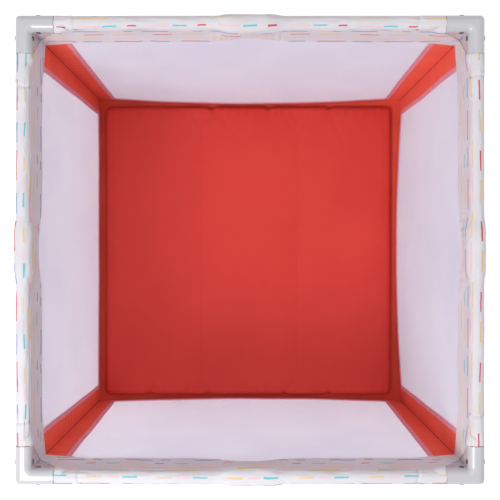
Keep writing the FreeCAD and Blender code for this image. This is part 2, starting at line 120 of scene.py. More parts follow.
# Places read from the frame
POST = -middle("post_front_left").x
RAIL_Z = middle("rail_tube_front_left").z
ARM_END = -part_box("corner_bracket_front_left")[1][0]
BRACKET_FACE = 2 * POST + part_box("corner_bracket_front_left")[0][0]  # its inner face
CHEEK_LOW = RAIL_Z - 0.024
SOCKET_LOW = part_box("corner_bracket_front_left")[0][2]
FOOT_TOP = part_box("foot_front_left")[1][2]
FLOOR_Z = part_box("floor_cloth")[1][2]
HUB_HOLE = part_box("hub_cover")[1][0] + 0.0025
MAT_LOW, MAT_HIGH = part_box("mat_panel_left")[0][2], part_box("mat_panel_left")[1][2]
MAT_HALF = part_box("mat_panel_left")[1][1]

# Sizes of the cloth
SLEEVE_R = 0.0150
SLEEVE_OUT = 0.0025  # the sleeve's padding is thicker on the outside of the rail
SLEEVE_END = ARM_END - 0.0006
LATCH_COVER = 0.058
LATCH_SWELL = 0.0047
LATCH_SLIT = math.radians(38)  # leaves the button below the latch free
FIN = 0.410  # where the red corner fabric meets the mesh
SEAM = 0.4628  # the corner's inner seam, from the middle of the pen along both sides
PANEL_BACK = 0.4668  # the back of the doubled fabric between the binding and the post
POST_WRAP = 0.0148
GUSSET_DEPTH = BRACKET_FACE - 0.0009
HEM = 0.680
LATCH_ARCH = 0.028
BAND_TOP = 0.085
WALL_TOP_DEPTH = 0.4637
WALL_LOW_DEPTH = 0.4570
BOW = {"front": 0.008, "right": 0.0145, "back": 0.0135, "left": 0.001}  # of a wall's foot
SIDE_TAPE = 0.012  # the width of the binding along a wall's side edge
BAND_TAPE = 0.010  # and of the one along its foot
HUB_PATCH = 0.016  # the width of the ring of cloth round the hub
SHEET = 0.0009  # the thickness of most of the cloth
LIFT = 0.0006  # how far the printed fabric lies off the sleeve
OVERLAP = 0.004  # of the mesh, and of its binding, on the red band
PRINT_PITCH = 0.018
PRINT_REPEAT = 0.1496
PRINT_START = 0.030  # where a repeat begins, along each side from its middle
PRINT_FIRST = {"front": 0.033, "right": 0.130, "back": 0.081, "left": 0.030}


# Camera, straight above the pen

CAMERA_HEIGHT = 2.333
camera = bpy.data.objects.new("camera", bpy.data.cameras.new("camera"))
camera.location = (0, 0, CAMERA_HEIGHT)
camera.data.sensor_width = 36
camera.data.lens = 53.6
camera.data.clip_end = 50
bpy.context.collection.objects.link(camera)
bpy.context.scene.camera = camera


# Small tools


def step(low, high, x):
    share = np.clip((np.asarray(x, float) - low) / (high - low), 0, 1)
    return share * share * (3 - 2 * share)


def mixed(a, b, share):
    return a + (b - a) * share


def dip(x, at, width):
    return np.exp(-(((x - at) / width) ** 2))


def bumps(*coords):
    """Smooth noise at coordinates given as arrays of one shape, about -1 to 1."""
    grid = np.broadcast_arrays(*coords)
    flat = np.stack([g.ravel() for g in grid], axis=1)
    return np.array([noise.noise(p) for p in flat]).reshape(grid[0].shape)


def on_side(x, depth, z, angle):
    """Points given in a side's own terms, turned to where the side is."""
    x, depth, z = np.broadcast_arrays(x, depth, z)
    c, s = math.cos(angle), math.sin(angle)
    return np.stack([x * c + depth * s, x * s - depth * c, z], axis=-1)


def at_corner(a, b, z, angle):
    """Points given in the front left corner's terms, turned to where the corner is."""
    return on_side(-np.asarray(a), b, z, angle)


def finish_mesh(name, verts, faces, uvs, material, smooth, sharp_angle=50):
    mesh = bpy.data.meshes.new(name)
    mesh.from_pydata(verts.tolist(), [], faces.tolist())
    layer = mesh.uv_layers.new(name="cloth")
    layer.data.foreach_set("uv", uvs.astype(np.float32).ravel())
    mesh.polygons.foreach_set("use_smooth", smooth)
    mesh.materials.append(material)
    mesh.update()
    mesh.validate()
    mesh.set_sharp_from_angle(angle=math.radians(sharp_angle))
    piece = bpy.data.objects.new(name, mesh)
    bpy.context.collection.objects.link(piece)
    return piece


def cloth(name, points, uv, thick, material, closed=False):
    """A cloth with a thickness, through a grid of points. A closed one joins up across columns,
    and its uv has one column more than its points."""
    rows, columns = points.shape[:2]
    along = np.gradient(points, axis=0)
    if closed:
        across = np.roll(points, -1, axis=1) - np.roll(points, 1, axis=1)
    else:
        across = np.gradient(points, axis=1)
    normal = np.cross(along, across)
    normal /= np.linalg.norm(normal, axis=2, keepdims=True) + 1e-12
    half = normal * (thick / 2)
    verts = np.concatenate([(points + half).reshape(-1, 3), (points - half).reshape(-1, 3)])
    spans = columns if closed else columns - 1
    i, j = (g.ravel() for g in np.meshgrid(np.arange(rows - 1), np.arange(spans), indexing="ij"))
    corners = [(i, j), (i + 1, j), (i + 1, j + 1), (i, j + 1)]
    layer = rows * columns
    top = np.stack([r * columns + c % columns for r, c in corners], axis=1)
    top_uv = np.stack([uv[r, c] for r, c in corners], axis=1)
    faces, face_uvs = [top, top[:, ::-1] + layer], [top_uv, top_uv[:, ::-1]]
    rims = [
        (np.zeros(spans, int), np.arange(spans), 0, 1),
        (np.full(spans, rows - 1), np.arange(spans)[::-1] + 1, 0, -1),
    ]
    if not closed:
        rims += [
            (np.arange(rows - 1)[::-1] + 1, np.zeros(rows - 1, int), -1, 0),
            (np.arange(rows - 1), np.full(rows - 1, columns - 1), 1, 0),
        ]
    for r, c, dr, dc in rims:
        a, b = r * columns + c % columns, (r + dr) * columns + (c + dc) % columns
        faces.append(np.stack([a, b, b + layer, a + layer], axis=1))
        face_uvs.append(np.stack([uv[r, c], uv[r + dr, c + dc], uv[r + dr, c + dc], uv[r, c]], axis=1))
    smooth = np.zeros(sum(len(f) for f in faces), bool)
    smooth[: 2 * len(top)] = True
    return finish_mesh(
        name, verts, np.concatenate(faces), np.concatenate(face_uvs), material, smooth
    )


def srgb(red, green, blue):
    """A colour given as 0 to 255 the way a screen shows it, as linear light."""
    shares = [v / 255 for v in (red, green, blue)]
    linear = [v / 12.92 if v < 0.04045 else ((v + 0.055) / 1.055) ** 2.4 for v in shares]
    return (*linear, 1)


# Materials


class Finish:
    """A material's nodes, with short ways to add and join them."""

    def __init__(self, name, roughness, **sockets):
        self.material = bpy.data.materials.new(name)
        self.material.use_nodes = True
        self.tree = self.material.node_tree
        self.surface = self.tree.nodes["Principled BSDF"]
        self.set(self.surface, {"Roughness": roughness, **sockets})

    def set(self, node, inputs):
        for key, value in inputs.items():
            if isinstance(value, bpy.types.NodeSocket):
                self.tree.links.new(value, node.inputs[key])
            else:
                node.inputs[key].default_value = value

    def add(self, kind, inputs=None, **settings):
        node = self.tree.nodes.new("ShaderNode" + kind)
        for key, value in settings.items():
            setattr(node, key, value)
        self.set(node, inputs or {})
        return node

    def math(self, operation, *values):
        return self.add("Math", dict(enumerate(values)), operation=operation).outputs[0]

    def mix(self, share, a, b):
        node = self.add("Mix", {0: share, 6: a, 7: b}, data_type="RGBA")
        return node.outputs[2]

    def place(self):
        return self.add("TexCoord").outputs["Object"]

    def cloth_place(self):
        """The distances along and across the cloth, in metres."""
        split = self.add("SeparateXYZ", {0: self.add("UVMap", uv_map="cloth").outputs[0]})
        return split.outputs[0], split.outputs[1]

    def noise(self, scale, detail=3.0, vector=None):
        inputs = {"Scale": scale, "Detail": detail, "Vector": vector or self.place()}
        return self.add("TexNoise", inputs).outputs[0]

    def shades(self, share, *colours):
        """A colour that goes evenly through the given ones as share goes from 0.3 to 0.7."""
        ramp = self.add("ValToRGB", {0: share})
        stops = ramp.color_ramp.elements
        while len(stops) < len(colours):
            stops.new(0.5)
        for index, colour in enumerate(colours):
            stops[index].position = 0.3 + 0.4 * index / (len(colours) - 1)
            stops[index].color = colour
        return ramp.outputs[0]

    def weave(self, u, v, pitch):
        """The height of a plain weave, -1 to 1."""
        turn = 2 * math.pi / pitch
        across = self.math("SINE", self.math("MULTIPLY", u, turn))
        along = self.math("SINE", self.math("MULTIPLY", v, turn))
        return self.math("MULTIPLY", across, along)

    def bump(self, height, distance, strength=1.0):
        bump = self.add("Bump", {"Height": height, "Distance": distance, "Strength": strength})
        previous = self.surface.inputs["Normal"].links
        if previous:
            self.tree.links.new(previous[0].from_socket, bump.inputs["Normal"])
        self.tree.links.new(bump.outputs[0], self.surface.inputs["Normal"])

    def colour(self, socket):
        self.set(self.surface, {"Base Color": socket})


def plastic(name, light, dark, roughness, grain):
    finish = Finish(name, roughness, **{"Coat Weight": 0.25, "Coat Roughness": 0.12})
    finish.colour(finish.shades(finish.noise(9.0), dark, light))
    patchy = finish.noise(60.0)
    rough = finish.add(
        "MapRange", {"Value": patchy, "To Min": roughness * 0.8, "To Max": roughness * 1.25}
    )
    finish.set(finish.surface, {"Roughness": rough.outputs[0]})
    finish.bump(finish.noise(420.0), grain, 0.35)
    return finish.material


def metal(name, light, dark, roughness, metallic):
    finish = Finish(name, roughness, Metallic=metallic)
    finish.colour(finish.shades(finish.noise(25.0, 5.0), dark, light))
    finish.bump(finish.noise(900.0), 0.00004, 0.4)
    return finish.material


THREAD = 0.0011  # between two threads of the plain-woven fabrics


def woven(name, light, dark):
    """A plain-woven fabric in one colour, slightly uneven from thread to thread."""
    finish = Finish(name, 0.82, **{"Sheen Weight": 0.08, "Sheen Roughness": 0.5})
    u, v = finish.cloth_place()
    finish.colour(finish.shades(finish.noise(14.0, 6.0), dark, light))
    finish.bump(finish.weave(u, v, THREAD), 0.00012, 0.5)
    finish.bump(finish.noise(55.0, 4.0), 0.0006, 0.25)
    return finish


# Dashes of the printed fabric: for each row across the cloth, the colour, start and length of
# each dash in one repeat, in millimetres along the cloth.
CYAN, BLUE, RED = srgb(98, 200, 210), srgb(96, 146, 205), srgb(216, 58, 72)
YELLOW, PEACH, PINK = srgb(232, 198, 122), srgb(240, 202, 152), srgb(240, 200, 203)
PRINT = [
    [(BLUE, 0, 43), (RED, 59, 64)],
    [(CYAN, 0, 31), (PEACH, 73, 33), (PINK, 118, 25)],
    [(YELLOW, 94, 68), (PINK, 30, 34)],
    [(PEACH, 123, 77), (PINK, 60, 26)],
    [(RED, 64, 19), (CYAN, 106, 30), (PINK, 142, 46)],
    [(BLUE, 74, 20), (BLUE, 147, 57)],
    [(RED, 140, 42), (YELLOW, 74, 45)],
    [(PEACH, 147, 57), (PINK, 71, 68)],
]
DASH_HALF = 0.0017
DASH_STRENGTH = 0.92


def printed_fabric():
    """White fabric with hand-drawn looking dashes along the rails."""
    finish = Finish("printed_fabric", 0.78, **{"Sheen Weight": 0.1})
    u, v = finish.cloth_place()
    wobble = finish.math("SUBTRACT", finish.noise(38.0, 2.0), 0.5)
    v_drawn = finish.math("MULTIPLY_ADD", wobble, 0.0035, v)
    ends = finish.math("MULTIPLY_ADD", finish.noise(160.0, 2.0), 0.003, u)
    cells = finish.math("DIVIDE", v_drawn, PRINT_PITCH)
    row = finish.math("FLOORED_MODULO", cells, float(len(PRINT)))
    base = finish.shades(finish.noise(11.0, 5.0), srgb(218, 214, 221), srgb(227, 224, 230))
    for index, dashes in enumerate(PRINT):
        off_row = finish.math("ABSOLUTE", finish.math("SUBTRACT", row, index + 0.5))
        thin = finish.math("LESS_THAN", off_row, DASH_HALF / PRINT_PITCH)
        for colour, start, length in dashes:
            from_start = finish.math("SUBTRACT", ends, start / 1000)
            along = finish.math("FLOORED_MODULO", from_start, PRINT_REPEAT)
            inside = finish.math("LESS_THAN", along, length / 1000)
            dash = finish.math("MULTIPLY", inside, thin)
            base = finish.mix(finish.math("MULTIPLY", dash, DASH_STRENGTH), base, colour)
    finish.colour(base)
    finish.bump(finish.weave(u, v, 0.0010), 0.00010, 0.5)
    finish.bump(finish.noise(48.0, 4.0), 0.0009, 0.3)
    return finish.material


SEAM_HALF = 0.0013


def ribbed_fabric():
    """The red corner fabric: fine ribs run level round the corner, and the inner seam is dark."""
    finish = woven("red_corner_fabric", srgb(251, 94, 62), srgb(243, 84, 54))
    u, v = finish.cloth_place()
    red = finish.surface.inputs["Base Color"].links[0].from_socket
    seam = finish.math("COMPARE", u, SEAM - FIN, SEAM_HALF)
    finish.colour(finish.mix(finish.math("MULTIPLY", seam, 0.75), red, srgb(120, 30, 24)))
    uneven = finish.math("MULTIPLY_ADD", finish.noise(18.0, 2.0), 0.02, v)
    for pitch, height in ((0.0085, 0.00008), (0.031, 0.0010)):
        ribs = finish.math("SINE", finish.math("MULTIPLY", uneven, 2 * math.pi / pitch))
        finish.bump(ribs, height, 0.7)
    return finish.material


MESH_PITCH = 0.0034  # between two holes of a row
MESH_ROW = 0.8 * MESH_PITCH
MESH_HOLE = 0.33  # a hole's radius, as a share of the pitch
MESH_GLOW = 0.45  # the share of light that shines through the threads


def mesh_fabric():
    """Knitted mesh: staggered round holes between pale lilac threads."""
    finish = Finish("mesh_fabric", 0.85)
    u, v = finish.cloth_place()
    row = finish.math("FLOOR", finish.math("DIVIDE", v, MESH_ROW))
    shift = finish.math("MULTIPLY", finish.math("FLOORED_MODULO", row, 2.0), 0.5)
    across = finish.math("FRACT", finish.math("ADD", finish.math("DIVIDE", u, MESH_PITCH), shift))
    up = finish.math("FRACT", finish.math("DIVIDE", v, MESH_ROW))
    x = finish.math("SUBTRACT", across, 0.5)
    y = finish.math("SUBTRACT", up, 0.5)
    squares = finish.math("ADD", finish.math("MULTIPLY", x, x), finish.math("MULTIPLY", y, y))
    hole = finish.math("LESS_THAN", finish.math("SQRT", squares), MESH_HOLE)
    lilac = finish.shades(finish.noise(7.0, 4.0), srgb(237, 236, 248), srgb(243, 242, 252))
    finish.colour(lilac)
    glow = finish.add("BsdfTranslucent", {"Color": lilac}).outputs[0]
    thread = finish.add("MixShader", {0: MESH_GLOW, 1: finish.surface.outputs[0], 2: glow}).outputs[0]
    clear = finish.add("BsdfTransparent").outputs[0]
    holes = finish.add("MixShader", {0: hole, 1: thread, 2: clear}).outputs[0]
    finish.tree.links.new(holes, finish.tree.nodes["Material Output"].inputs[0])
    finish.bump(finish.noise(700.0), 0.0002, 0.5)
    return finish.material


def binding_tape():
    """Mauve tape with a paler zig-zag of stitches along its middle."""
    finish = Finish("binding_tape", 0.8, **{"Sheen Weight": 0.1})
    u, v = finish.cloth_place()
    tape = finish.shades(finish.noise(60.0, 4.0), srgb(232, 132, 152), srgb(242, 150, 168))
    zigzag = finish.math("PINGPONG", v, 0.0022)
    off = finish.math("SUBTRACT", u, finish.math("MULTIPLY", zigzag, 2.4))
    close = finish.math("COMPARE", off, 0.0034, 0.0006)
    finish.colour(finish.mix(close, tape, srgb(240, 190, 198)))
    finish.bump(close, 0.0004, 0.8)
    finish.bump(finish.weave(u, v, 0.0009), 0.0001, 0.6)
    return finish.material


def mat_fabric():
    """Red polyester over a padded board, with a soft crumple and a fine weave."""
    finish = Finish("mat_fabric", 0.72, **{"Sheen Weight": 0.06, "Sheen Roughness": 0.45})
    place = finish.add("SeparateXYZ", {0: finish.place()})
    finish.colour(finish.shades(finish.noise(5.0, 6.0), srgb(212, 49, 37), srgb(219, 53, 41)))
    finish.bump(finish.weave(place.outputs[0], place.outputs[1], 0.0012), 0.00012, 0.5)
    finish.bump(finish.noise(26.0, 5.0), 0.0012, 0.25)
    return finish.material


WHITE_PLASTIC = plastic("white_plastic", srgb(205, 204, 208), srgb(199, 198, 203), 0.25, 0.00005)
FOOT_PLASTIC = plastic("foot_plastic", srgb(228, 227, 230), srgb(218, 217, 220), 0.4, 0.0001)
GREY_PLASTIC = plastic("grey_plastic", srgb(120, 122, 126), srgb(104, 106, 110), 0.45, 0.0001)
RED_PLASTIC = plastic("red_plastic", srgb(205, 58, 48), srgb(190, 48, 40), 0.4, 0.0001)
PAINTED_TUBE = metal("painted_tube", srgb(226, 226, 228), srgb(216, 216, 219), 0.35, 0.0)
RIVET_STEEL = metal("rivet_steel", srgb(120, 120, 124), srgb(92, 92, 96), 0.35, 0.9)
PRINTED = printed_fabric()
RIBBED = ribbed_fabric()
MESH = mesh_fabric()
BINDING = binding_tape()
FLOOR_FABRIC = woven("floor_fabric", srgb(222, 78, 57), srgb(212, 71, 51)).material
BAND_FABRIC = woven("band_fabric", srgb(234, 80, 58), srgb(222, 70, 50)).material
MAT_FABRIC = mat_fabric()

NODE_FINISH = {
    "corner_bracket": WHITE_PLASTIC,
    "foot": FOOT_PLASTIC,
    "post": PAINTED_TUBE,
    "rail_tube": PAINTED_TUBE,
    "base_arm": PAINTED_TUBE,
    "pivot_rivets": RIVET_STEEL,
    "latch_rivets": RIVET_STEEL,
    "hub_pins": RIVET_STEEL,
    "latch_housing": GREY_PLASTIC,
    "latch_button": RED_PLASTIC,
    "hub_base": GREY_PLASTIC,
    "hub_cover": GREY_PLASTIC,
    "hub_handle": RED_PLASTIC,
}
for node, piece in frame["nodes"].items():
    for start, material in NODE_FINISH.items():
        if node.startswith(start):
            piece.data.materials.clear()
            piece.data.materials.append(material)


# Shapes that neighbouring pieces share


def wall_depth(x, z, side):
    """How far out the side's mesh is: it leans in towards its foot and bows in there."""
    x = np.abs(x)
    down = np.clip((HEM - z) / (HEM - BAND_TOP), 0, 1)
    edge = mixed(WALL_TOP_DEPTH, WALL_LOW_DEPTH, down)
    bowed = edge - BOW[side] * down**1.2 * (1 - np.clip(x / FIN, 0, 1) ** 2)
    towards_seam = np.clip((x - FIN) / (SEAM - FIN), 0, 1)
    return mixed(bowed, SEAM, towards_seam)


def hem_height(x, side):
    """The lower edge of the printed fabric, which is drawn up under the latch."""
    seed = SIDES.index(side) * 7.3
    wave = 0.0017 * bumps(x * 11, seed, 0.5) + 0.0008 * bumps(x * 40, seed, 4.5)
    x = np.abs(x)
    drop = 0.013 * step(FIN - 0.055, FIN, x) + 0.012 * np.clip((x - FIN) / (SEAM - FIN), 0, 1)
    return HEM - drop + wave * step(SEAM, FIN - 0.03, x) + LATCH_ARCH * dip(x, 0, 0.07)


def swell(x):
    return 1 - step(0.034, 0.078, np.abs(x))


def sleeve_middle(x):
    return POST + SLEEVE_OUT - 0.0012 * swell(x)


def sleeve_radius(x):
    return SLEEVE_R + LATCH_SWELL * swell(x)


# The padded sleeves on the rails

PINCH = {  # where each half rail's padding begins, from the end of the bracket
    "front_left": 0.052, "front_right": 0.060, "right_front": 0.066, "right_back": 0.047,
    "back_right": 0.058, "back_left": 0.043, "left_back": 0.069, "left_front": 0.050,
}


def sleeve_points(x, turn, side, pinch_at, extra):
    """Points on the sleeve at x along the side and a turn about the rail, from the inside up.
    Extra is added to its radius."""
    seed = SIDES.index(side) * 5.1
    radius = sleeve_radius(x) + extra
    if pinch_at is not None:
        near = np.abs(x) - pinch_at
        radius = radius + 0.0007 * step(-0.002, 0.006, near)
        radius = radius - 0.0021 * dip(near, 0.0015 * np.sin(turn * 2 + seed), 0.0030)
        pleats = np.sin(turn * 9 + seed) + 0.6 * np.sin(turn * 17 + 2 * seed)
        radius = radius + 0.0006 * pleats * dip(near, 0, 0.018)
    crease = bumps(np.cos(turn) * 2.2 + seed, np.sin(turn) * 2.2, x * 26)
    fine = bumps(np.cos(turn) * 5.0 + seed, np.sin(turn) * 5.0, x * 80)
    radius = radius + 0.0010 * crease + 0.0004 * fine
    puckers = np.sin(turn * 7 + 9 * bumps(x * 30, seed, 2.0))
    radius = radius + 0.0005 * puckers * dip(np.abs(x), 0.062, 0.012)
    depth = sleeve_middle(x) - radius * np.cos(turn)
    return depth, RAIL_Z + radius * np.sin(turn)


def print_place(x, up, side):
    """Where a point of the fabric is on the print: x along the side, and up how far it is from
    the sleeve's inside, over its top. The print is pulled outwards at the middle of a side."""
    pulled = 0.0075 * (1 - np.clip(np.abs(x) / SEAM, 0, 1) ** 1.5)
    across = PRINT_FIRST[side] + PRINT_PITCH / 2 + pulled - up
    return np.stack(np.broadcast_arrays(x - PRINT_START, across), axis=-1)


def sleeve_tube(name, side, low, high, thick, pinch_at=None, extra=0.0, slit=None):
    """A sleeve round the rail. With a slit, it stays open below by that angle to either side."""
    rows = max(int((high - low) / 0.0025), 12)
    columns = 56
    x = np.linspace(low, high, rows)[:, None] * np.ones((1, columns))
    if slit is None:
        around = np.linspace(0, 2 * math.pi, columns + 1)
    else:
        around = np.linspace(slit - math.pi / 2, 1.5 * math.pi - slit, columns)
    turn = around[None, :columns] * np.ones((rows, 1))
    depth, z = sleeve_points(x, turn, side, pinch_at, extra - thick / 2)
    points = on_side(x, depth, z, SIDES.index(side) * math.pi / 2)
    uv = print_place(x[:, :1], around[None, :] * SLEEVE_R, side)
    return cloth(name, points, uv, thick, PRINTED, closed=slit is None)


fold_axis = {side: on_side(1.0, 0.0, 0.0, k * math.pi / 2) for k, side in enumerate(SIDES)}


def side_point(side, x, depth, z):
    return tuple(on_side(x, depth, z, SIDES.index(side) * math.pi / 2))


for side in SIDES:
    for sign, rail in zip((-1, 1), RAILS[side]):
        near, far = LATCH_COVER - 0.004, SLEEVE_END
        low, high = (near, far) if sign > 0 else (-far, -near)
        sleeve = sleeve_tube(
            f"sleeve_{rail}", side, low, high, 0.003, pinch_at=ARM_END - PINCH[rail]
        )
        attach(sleeve, f"rail_{rail}")
    cover = sleeve_tube(
        f"latch_cover_{side}", side, -LATCH_COVER, LATCH_COVER, 0.0012, extra=0.0005,
        slit=LATCH_SLIT,
    )
    across = 2 * (math.pi - LATCH_SLIT) * (SLEEVE_R + LATCH_SWELL)
    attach(cover, f"latch_{side}")
    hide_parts(f"rail_sleeve_{side}")
    side_point(side, 0, POST, RAIL_Z)
    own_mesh(cover)


# The sides: mesh, printed fabric hanging from the rail, red band along the foot

WALL_COLUMNS = 150


def on_wall(piece, side):
    """Hangs a cloth on the leg at its side's start."""
    corner = CORNERS[SIDES.index(side)]
    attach(piece, f"leg_{corner}")
    side_point(side, -FIN, POST, RAIL_Z)
    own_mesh(piece)


def wall_strip(name, side, low, high, rows, thick, material, ripple):
    """A level strip of the side between two heights, each a number or an array along x."""
    x = np.linspace(-FIN, FIN, WALL_COLUMNS)[:, None]
    low, high = (np.broadcast_to(edge, WALL_COLUMNS)[:, None] for edge in (low, high))
    z = mixed(low, high, np.linspace(0, 1, rows)[None, :])
    seed = SIDES.index(side) * 3.7
    hanging = step(0, 0.05, FIN - np.abs(x))
    depth = wall_depth(x, z, side) + ripple * bumps(x * 7, z * 3, seed) * hanging
    points = on_side(x, depth, z, SIDES.index(side) * math.pi / 2)
    uv = np.stack(np.broadcast_arrays(x, z), axis=-1)
    return cloth(name, points, uv, thick, material)


def over_rail(x, reach):
    """The printed fabric where it comes off the sleeve: depth, height and how far up it is. It
    starts reach of the way from the sleeve's inside to its top, and leaves the sleeve to lie in
    front of the bracket where reach is more than 0."""
    turn = np.linspace(1, 0, 7)[None, :] * np.maximum(reach, 0.04) * math.pi / 2
    off = sleeve_radius(x) + LIFT
    wide = mixed(off, sleeve_middle(x) - GUSSET_DEPTH, reach) * np.cos(turn)
    up = SLEEVE_R * np.arccos(np.clip(wide / off, -1, 1)) - np.maximum(wide - off, 0)
    return sleeve_middle(x) - wide, RAIL_Z + off * np.sin(turn), up


def skirt_path(x, side):
    """Depth, height and how far up the print the fabric is, from the sleeve down its inside to the
    hem and back up its outside. Each has a row for every x."""
    hem = hem_height(x, side)
    top_depth, top_z, top_up = over_rail(x, step(FIN - 0.027, FIN, np.abs(x)))
    down = np.linspace(0.04, 1, 16)[None, :]
    inner_z = mixed(RAIL_Z, hem, down)
    at_hem = wall_depth(x, hem, side)
    inner_depth = mixed(top_depth[:, -1:], at_hem - 0.0016, down**1.4)
    up = np.linspace(0, 1, 16)[None, :]
    outer_z = mixed(hem, RAIL_Z, up)
    outer = sleeve_middle(x) + sleeve_radius(x) + LIFT
    outer_depth = mixed(at_hem + 0.0016, outer, up**0.62)
    seed = SIDES.index(side) * 2.9
    inside = step(0, 0.02, FIN - np.abs(x))
    folds = 0.0012 * bumps(x * 17, inner_z * 9, seed) + 0.0007 * bumps(x * 55, inner_z * 12, seed + 5)
    puckers = 0.0012 * np.sin(x * 420 + 5 * bumps(x * 20, seed, 1.0)) * dip(np.abs(x), 0.06, 0.025)
    inner_depth = inner_depth + (folds + puckers) * np.sin(down * math.pi * 0.75) * inside
    folds = 0.0015 * bumps(x * 15, outer_z * 9, seed + 9)
    outer_depth = outer_depth + folds * np.sin(up * math.pi) * inside
    depth = np.concatenate([top_depth, inner_depth, outer_depth], axis=1)
    z = np.concatenate([top_z, inner_z, outer_z], axis=1)
    outer_up = math.pi * SLEEVE_R + (RAIL_Z - outer_z) * 1.1
    inner_up = inner_z - RAIL_Z + top_up[:, -1:]
    return depth, z, np.concatenate([top_up, inner_up, outer_up], axis=1)


for side in SIDES:
    angle = SIDES.index(side) * math.pi / 2
    mesh_top = hem_height(np.linspace(-FIN, FIN, WALL_COLUMNS), side) + 0.006
    mesh = wall_strip(
        f"mesh_wall_{side}", side, BAND_TOP - OVERLAP, mesh_top, 70, 0.0006, MESH, 0.0014
    )
    on_wall(mesh, side)
    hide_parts(f"side_panel_{side}")
    band = wall_strip(
        f"red_band_{side}", side, FLOOR_Z - 0.0015, BAND_TOP, 12, 0.0024, BAND_FABRIC, 0.0008
    )
    on_wall(band, side)
    edge = wall_strip(
        f"band_binding_{side}", side, BAND_TOP - OVERLAP, BAND_TOP - OVERLAP + BAND_TAPE, 5, 0.0036,
        BINDING, 0.0008,
    )
    on_wall(edge, side)
    x = np.linspace(-FIN, FIN, 260)[:, None]
    depth, z, up = skirt_path(x, side)
    uv = print_place(x, up, side)
    skirt = cloth(f"printed_skirt_{side}", on_side(x, depth, z, angle), uv, SHEET, PRINTED)
    on_wall(skirt, side)


# The corners: red fabric round the post, its bindings, and the printed gussets below the bracket


def corner_loop(z, sides):
    """The corner fabric's outline at each height in z, as a and b: from the first side's binding
    by the inner seam to the other binding, back behind that panel, round the post, and back
    behind the first panel."""
    first, second = sides
    along = np.linspace(0, 1, 12, endpoint=False)
    rows = []
    for height in z:
        flare = 1 - float(step(FOOT_TOP + 0.005, FOOT_TOP + 0.05, height))
        radius = POST_WRAP + 0.0038 * flare
        edge_a = float(wall_depth(FIN, height, first))
        edge_b = float(wall_depth(FIN, height, second))
        turn = np.radians(np.linspace(-95, 185, 34))
        arc = [(POST + radius * math.cos(t), POST + radius * math.sin(t)) for t in turn]
        bends = [
            (FIN, edge_a), (SEAM, SEAM), (edge_b, FIN), (edge_b + 0.0030, FIN + 0.004),
            (PANEL_BACK, PANEL_BACK - 0.0008), arc[0], arc[-1], (PANEL_BACK - 0.0008, PANEL_BACK),
            (FIN + 0.004, edge_a + 0.0030),
        ]
        row = []
        for (a0, b0), (a1, b1) in zip(bends, bends[1:] + bends[:1]):
            if (a0, b0) == arc[0]:
                row += arc[:-1]
            else:
                row += [(mixed(a0, a1, t), mixed(b0, b1, t)) for t in along]
        rows.append(row)
    return np.array(rows)


def inner_gusset(name, side, sign, angle):
    """The printed fabric in front of a bracket: it closes over the sleeve's end and then slopes
    down across the bracket's inside to the corner."""
    ax = np.array([FIN, ARM_END - 0.0006, *np.linspace(ARM_END + 0.0006, SEAM, 24)])[:, None]
    x = ax * sign
    on_sleeve = ax < ARM_END
    top_depth, top_z, top_up = over_rail(x, np.ones_like(ax))
    slope = mixed(RAIL_Z - 0.002, SOCKET_LOW + 0.013, (ax - ARM_END) / (SEAM - ARM_END))
    below = np.linspace(0, 0.002, top_z.shape[1])[None, :]
    top_depth = np.where(on_sleeve, top_depth, GUSSET_DEPTH)
    top_z = np.where(on_sleeve, top_z, slope + 0.002 - below)
    share = np.linspace(0.05, 1, 16)[None, :]
    hem = hem_height(x, side)
    z = mixed(top_z[:, -1:], hem, share)
    depth = mixed(GUSSET_DEPTH, wall_depth(x, hem, side) - 0.0016, share**1.4)
    depth = depth - 0.0012 * np.sin(share * math.pi) * bumps(ax * 60, z * 25, angle + sign) ** 2
    spread = sleeve_middle(x) - sleeve_radius(x) - GUSSET_DEPTH
    up = np.where(on_sleeve, top_up, top_z - RAIL_Z - spread)
    points = on_side(
        x, np.concatenate([top_depth, depth], axis=1), np.concatenate([top_z, z], axis=1), angle
    )
    uv = print_place(x, np.concatenate([up, z - RAIL_Z - spread], axis=1), side)
    return cloth(name, points, uv, SHEET, PRINTED)


def outer_gusset(name, side, sign, angle):
    """The printed fabric below a bracket's arm on the outside."""
    ends = ARM_END - 0.0006, ARM_END + 0.0006
    ax = np.array([FIN, ends[0], *np.linspace(ends[1], POST - 0.0185, 16)])[:, None]
    x = ax * sign
    hem = hem_height(x, side)
    share = np.linspace(0, 1, 16)[None, :]
    z = mixed(np.where(ax < ARM_END, RAIL_Z, CHEEK_LOW - 0.0015), hem, share)
    outwards = step(FIN, FIN + 0.028, ax)
    low_depth = mixed(wall_depth(FIN, hem, side) + 0.0016, POST + 0.0185, outwards)
    top_depth = sleeve_middle(x) + sleeve_radius(x) + LIFT
    depth = mixed(low_depth + 0.0006, top_depth, (1 - share) ** 0.62)
    uv = print_place(x, math.pi * SLEEVE_R + (RAIL_Z - z) * 1.1, side)
    return cloth(name, on_side(x, depth, z, angle), uv, SHEET, PRINTED)


def web(name, sign, angle):
    """The curved plastic web below the bracket's inner cheek, where its arm meets the socket."""
    share = np.linspace(0, 1, 14)[:, None]
    ax = mixed(BRACKET_FACE - 0.0295, BRACKET_FACE - 0.0004, share)
    low = CHEEK_LOW - 0.036 * share**1.2
    z = mixed(CHEEK_LOW + 0.003, low, np.linspace(0, 1, 10)[None, :])
    depth = BRACKET_FACE + 0.0018 + 0 * z
    uv = np.stack(np.broadcast_arrays(ax, z), axis=-1)
    return cloth(name, on_side(ax * sign, depth, z, angle), uv, 0.0030, WHITE_PLASTIC)


